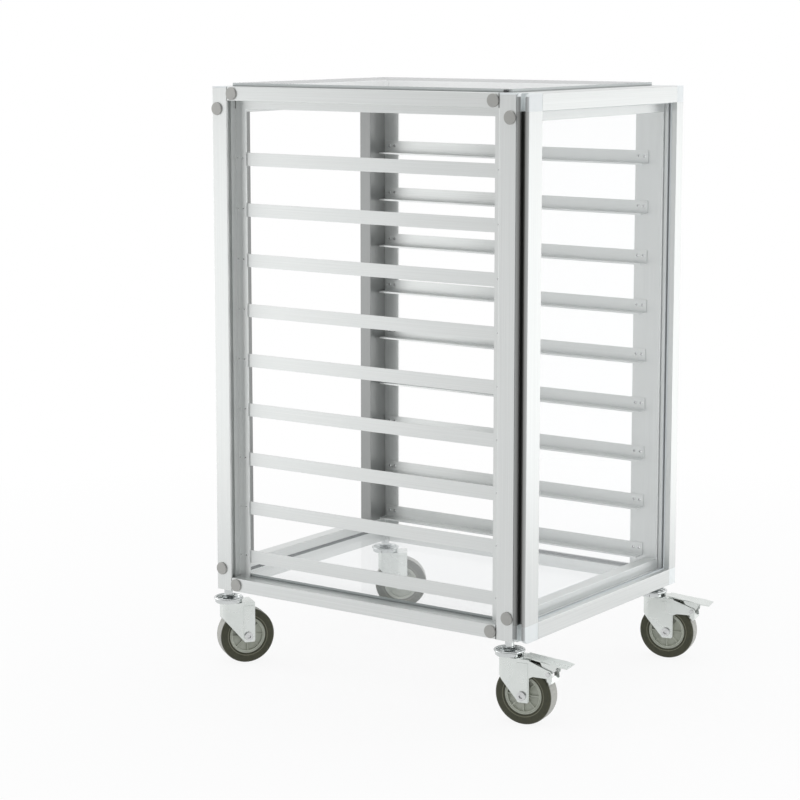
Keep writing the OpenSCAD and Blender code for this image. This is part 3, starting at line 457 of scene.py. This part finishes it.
def solid_boxes(name):
    """Lowest and highest corner of each separate solid of a node."""
    bm = bmesh.new()
    bm.from_mesh(nodes[name].data)
    bmesh.ops.remove_doubles(bm, verts=bm.verts, dist=1e-6)
    bm.verts.ensure_lookup_table()
    boxes, seen = [], set()
    for start in bm.verts:
        if start in seen:
            continue
        seen.add(start)
        group, waiting = [], [start]
        while waiting:
            vert = waiting.pop()
            group.append(vert.co.copy())
            for edge in vert.link_edges:
                other = edge.other_vert(vert)
                if other not in seen:
                    seen.add(other)
                    waiting.append(other)
        boxes.append([Vector([pick(co[i] for co in group) for i in range(3)])
                      for pick in (min, max)])
    bm.free()
    return boxes


def new_piece(name, bm, mat, body, smooth=False):
    """Makes a mesh into a piece that moves with a body."""
    bmesh.ops.recalc_face_normals(bm, faces=bm.faces)
    mesh = bpy.data.meshes.new(name)
    bm.to_mesh(mesh)
    bm.free()
    mesh.materials.append(mat)
    for face in mesh.polygons:
        face.use_smooth = smooth
    piece = bpy.data.objects.new(name, mesh)
    bpy.context.scene.collection.objects.link(piece)
    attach(piece, body)


def add_block(bm, low, high, round_edge=0.0):
    """A block between two corners, with its edges rounded."""
    made = bmesh.ops.create_cube(bm, size=1.0)
    for vert in made["verts"]:
        for i in range(3):
            vert.co[i] = low[i] if vert.co[i] < 0 else high[i]
    if round_edge:
        edges = {edge for vert in made["verts"] for edge in vert.link_edges}
        bmesh.ops.bevel(bm, geom=list(edges), offset=round_edge, segments=3, affect="EDGES")


def add_cross(bm, middle, out, length, width, proud):
    """Painted shadow of a screw head's cross slot that looks along Y, as two crossing bars."""
    x, y, z = middle
    near, far = sorted((y, y + out * proud))
    for half_x, half_z in ((length / 2, width / 2), (width / 2, length / 2)):
        add_block(bm, (x - half_x, near, z - half_z), (x + half_x, far, z + half_z))


def add_dome(bm, middle, radius, height, sides=24):
    """Low domed disc that looks along +Y."""
    x, y, z = middle
    turns = [2 * math.pi * k / sides for k in range(sides)]
    rings = []
    for share in (1.0, 0.97, 0.8, 0.5, 0.2):
        rise = height * (1 - share ** 2)
        rings.append([bm.verts.new((x + radius * share * math.cos(turn), y + rise,
                                    z + radius * share * math.sin(turn))) for turn in turns])
    for outer, inner in zip(rings, rings[1:]):
        for k in range(sides):
            bm.faces.new((outer[k], outer[k - 1], inner[k - 1], inner[k]))
    bm.faces.new(rings[0])
    bm.faces.new(rings[-1])


def make_runner_slot_shadows():
    """Painted shadow of the cross slots in the heads of the runners' screws, which look into the
    frame.
    """
    bm = bmesh.new()
    for low, high in solid_boxes("runner_screws"):
        out, face_y = (-1, low.y) if low.y > 0 else (1, high.y)
        add_cross(bm, ((low.x + high.x) / 2, face_y, (low.z + high.z) / 2), out,
                  length=0.0026, width=0.0007, proud=0.00006)
    new_piece("runner_screw_slot_shadows", bm, SHADOW, "root")


def make_hinge_screws(name, body, side):
    """Three countersunk screws in each hinge leaf, with the painted shadow of their cross slots.
    """
    heads, slot_shadows = bmesh.new(), bmesh.new()
    for low, high in solid_boxes(name):
        x = low.x + LEAF_SCREW_IN if side < 0 else high.x - LEAF_SCREW_IN
        y = low.y + LEAF_T
        for step in (-LEAF_SCREW_STEP, 0.0, LEAF_SCREW_STEP):
            z = (low.z + high.z) / 2 + step
            add_dome(heads, (x, y, z), HEAD_R, HEAD_RISE)
            add_cross(slot_shadows, (x, y + HEAD_SLOT_UP, z), 1,
                      length=0.0030, width=0.0007, proud=0.00013)
    new_piece(name + "_screws", heads, STEEL, body, smooth=True)
    new_piece(name + "_slot_shadows", slot_shadows, SHADOW, body)


def make_pane_seal(name, face_x, out):
    """Soft quarter-round seal between one face of the pane and the door's frame."""
    y_low, y_high = STILE_HIGH.y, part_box("door_hinge_stile")[0].y
    z_low, z_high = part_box("door_base_rail")[1].z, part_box("door_top_rail")[0].z
    turns = [math.pi / 2 * k / SEAL_STEPS for k in range(SEAL_STEPS + 1)]
    section = [(0.0, 0.0)] + [(SEAL_R * math.cos(t), SEAL_R * math.sin(t)) for t in turns]
    bm = bmesh.new()
    loops = []
    for y, z, in_y, in_z in ((y_low, z_low, 1, 1), (y_high, z_low, -1, 1),
                             (y_high, z_high, -1, -1), (y_low, z_high, 1, -1)):
        loops.append([bm.verts.new((face_x + out * depth, y + in_y * side, z + in_z * side))
                      for depth, side in section])
    for loop, following in zip(loops, loops[1:] + loops[:1]):
        for k in range(len(section)):
            bm.faces.new((loop[k - 1], loop[k], following[k], following[k - 1]))
    new_piece(name, bm, SEAL, "door")


def make_sheet_buffers():
    """Dark buffers on the side rails at the door end, which hold the top sheet in place."""
    sheet_low, sheet_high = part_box("top_sheet")
    x, z = RAIL_HIGH.x - BUFFER_IN, RAIL_HIGH.z
    bm = bmesh.new()
    for y in (sheet_low.y - BUFFER_GAP, sheet_high.y + BUFFER_GAP):
        add_block(bm, (x - BUFFER_HALF_X, y - BUFFER_HALF_Y, z),
                  (x + BUFFER_HALF_X, y + BUFFER_HALF_Y, z + BUFFER_H), BUFFER_ROUND)
    new_piece("sheet_buffers", bm, BUFFER, "root")


make_runner_slot_shadows()
make_hinge_screws("hinge_leaves_frame", "root", -1)
make_hinge_screws("hinge_leaves_door", "door", 1)
pane_low, pane_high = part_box("door_pane")
make_pane_seal("pane_seal_inner", pane_low.x, -1)
make_pane_seal("pane_seal_outer", pane_high.x, 1)
make_sheet_buffers()


# Floor, light and camera

FLOOR_HALF = 80.0
FLOOR_GREY = (0.86, 0.86, 0.86, 1)
FLOOR_GLOW = (0.88, 1.0, 0.5, 2.0)  # shares of glow, and distances between which it grows
WORLD_SOFT = 0.70
ROOM_SIDE = (0.42, -0.907, 0.0)     # direction in which the mirrored room is dimmer
ROOM_DIM = 0.25
ROOM_FALL = (0.15, 0.95)            # shares of that direction between which it dims
CAMERA_PLACE = (2.3644, -3.4847, 1.2003)
CAMERA_FORWARD = (-0.5710, 0.8086, -0.1417)
CAMERA_LENS, CAMERA_SENSOR = 103.58, 36.0
CAMERA_SHIFT_Y = -0.07
# Name, place, point looked at, side and power of each lamp
LAMPS = (
    ("door_side_light", (1.15, 1.0, 0.42), (0.33, 0, 0.40), 1.3, 3.1),
    ("door_front_light", (2.1, 0.15, 0.35), (0.33, 0.05, 0.3), 1.0, 6),
    ("front_left_light", (-1.3, -1.1, 0.5), (-0.2, -0.25, 0.55), 1.1, 2.2),
    ("open_end_light", (-1.8, -0.5, 0.7), (0.3, 0.2, 0.6), 1.2, 4.5),
    ("top_light", (0, 0, 3.4), (0, 0, 0.5), 2.8, 22),
)


def make_floor():
    """A wide pale floor, white to the camera and in reflections, which keeps a soft shadow
    round the object."""
    mesh = bpy.data.meshes.new("studio_floor")
    half = FLOOR_HALF
    mesh.from_pydata([(-half, -half, 0), (half, -half, 0), (half, half, 0), (-half, half, 0)],
                     [], [(0, 1, 2, 3)])
    floor = bpy.data.objects.new("studio_floor", mesh)
    bpy.context.scene.collection.objects.link(floor)
    mat = bpy.data.materials.new("studio_floor")
    tree, out = empty_tree(mat, "OutputMaterial")
    diffuse = new_node(tree, "BsdfDiffuse")
    diffuse.inputs["Color"].default_value = FLOOR_GREY
    glow = new_node(tree, "Emission")
    glow.inputs["Strength"].default_value = 1.0
    distance = vector_maths(tree, "LENGTH", object_place(tree))
    share = product(tree, seen_by(tree, "Camera", "Glossy", "Transmission"),
                    to_range(tree, distance, *FLOOR_GLOW))
    tree.links.new(mix_shaders(tree, share, diffuse.outputs[0], glow.outputs[0]),
                   out.inputs["Surface"])
    mesh.materials.append(mat)


def background(tree, colour, strength):
    """Light of the world, with its strength a socket or a number."""
    node = new_node(tree, "Background")
    node.inputs["Color"].default_value = (*colour, 1)
    feed(tree, node.inputs["Strength"], strength)
    return node.outputs[0]


def make_world():
    """White behind the object, a plain level for soft light, and a room that is dimmer
    on the side the photograph was taken from."""
    world = bpy.data.worlds.new("studio")
    bpy.context.scene.world = world
    tree, out = empty_tree(world, "OutputWorld")
    direction = new_node(tree, "TexCoord").outputs["Generated"]
    toward = vector_maths(tree, "DOT_PRODUCT", direction, ROOM_SIDE)
    soft = background(tree, (0.97, 0.98, 1.0), WORLD_SOFT)
    mirrored = background(tree, (1, 1, 1), to_range(tree, toward, 1.0, ROOM_DIM, *ROOM_FALL))
    white = background(tree, (1, 1, 1), 1.0)
    lit = mix_shaders(tree, seen_by(tree, "Glossy"), soft, mirrored)
    shown = mix_shaders(tree, seen_by(tree, "Camera", "Transmission"), lit, white)
    tree.links.new(shown, out.inputs["Surface"])


def place_facing(thing, place, forward):
    """Puts a lamp or camera at a place, looking in a direction."""
    thing.location = place
    thing.rotation_mode = "QUATERNION"
    thing.rotation_quaternion = forward.to_track_quat("-Z", "Y")
    bpy.context.scene.collection.objects.link(thing)


def make_lamp(name, place, target, size, power):
    """A square area lamp that looks at a point."""
    data = bpy.data.lights.new(name, "AREA")
    data.shape = "SQUARE"
    data.size = size
    data.energy = power
    lamp = bpy.data.objects.new(name, data)
    lamp.visible_camera = False
    lamp.visible_transmission = False
    place_facing(lamp, place, Vector(target) - Vector(place))


def make_camera():
    """The photograph's camera, from a fit to the frame's edges."""
    data = bpy.data.cameras.new("camera")
    data.sensor_width = CAMERA_SENSOR
    data.lens = CAMERA_LENS
    data.shift_y = CAMERA_SHIFT_Y
    camera = bpy.data.objects.new("camera", data)
    place_facing(camera, CAMERA_PLACE, Vector(CAMERA_FORWARD))
    bpy.context.scene.camera = camera


make_camera()
make_floor()
make_world()
for lamp in LAMPS:
    make_lamp(*lamp)
bpy.context.scene.view_settings.view_transform = "Standard"
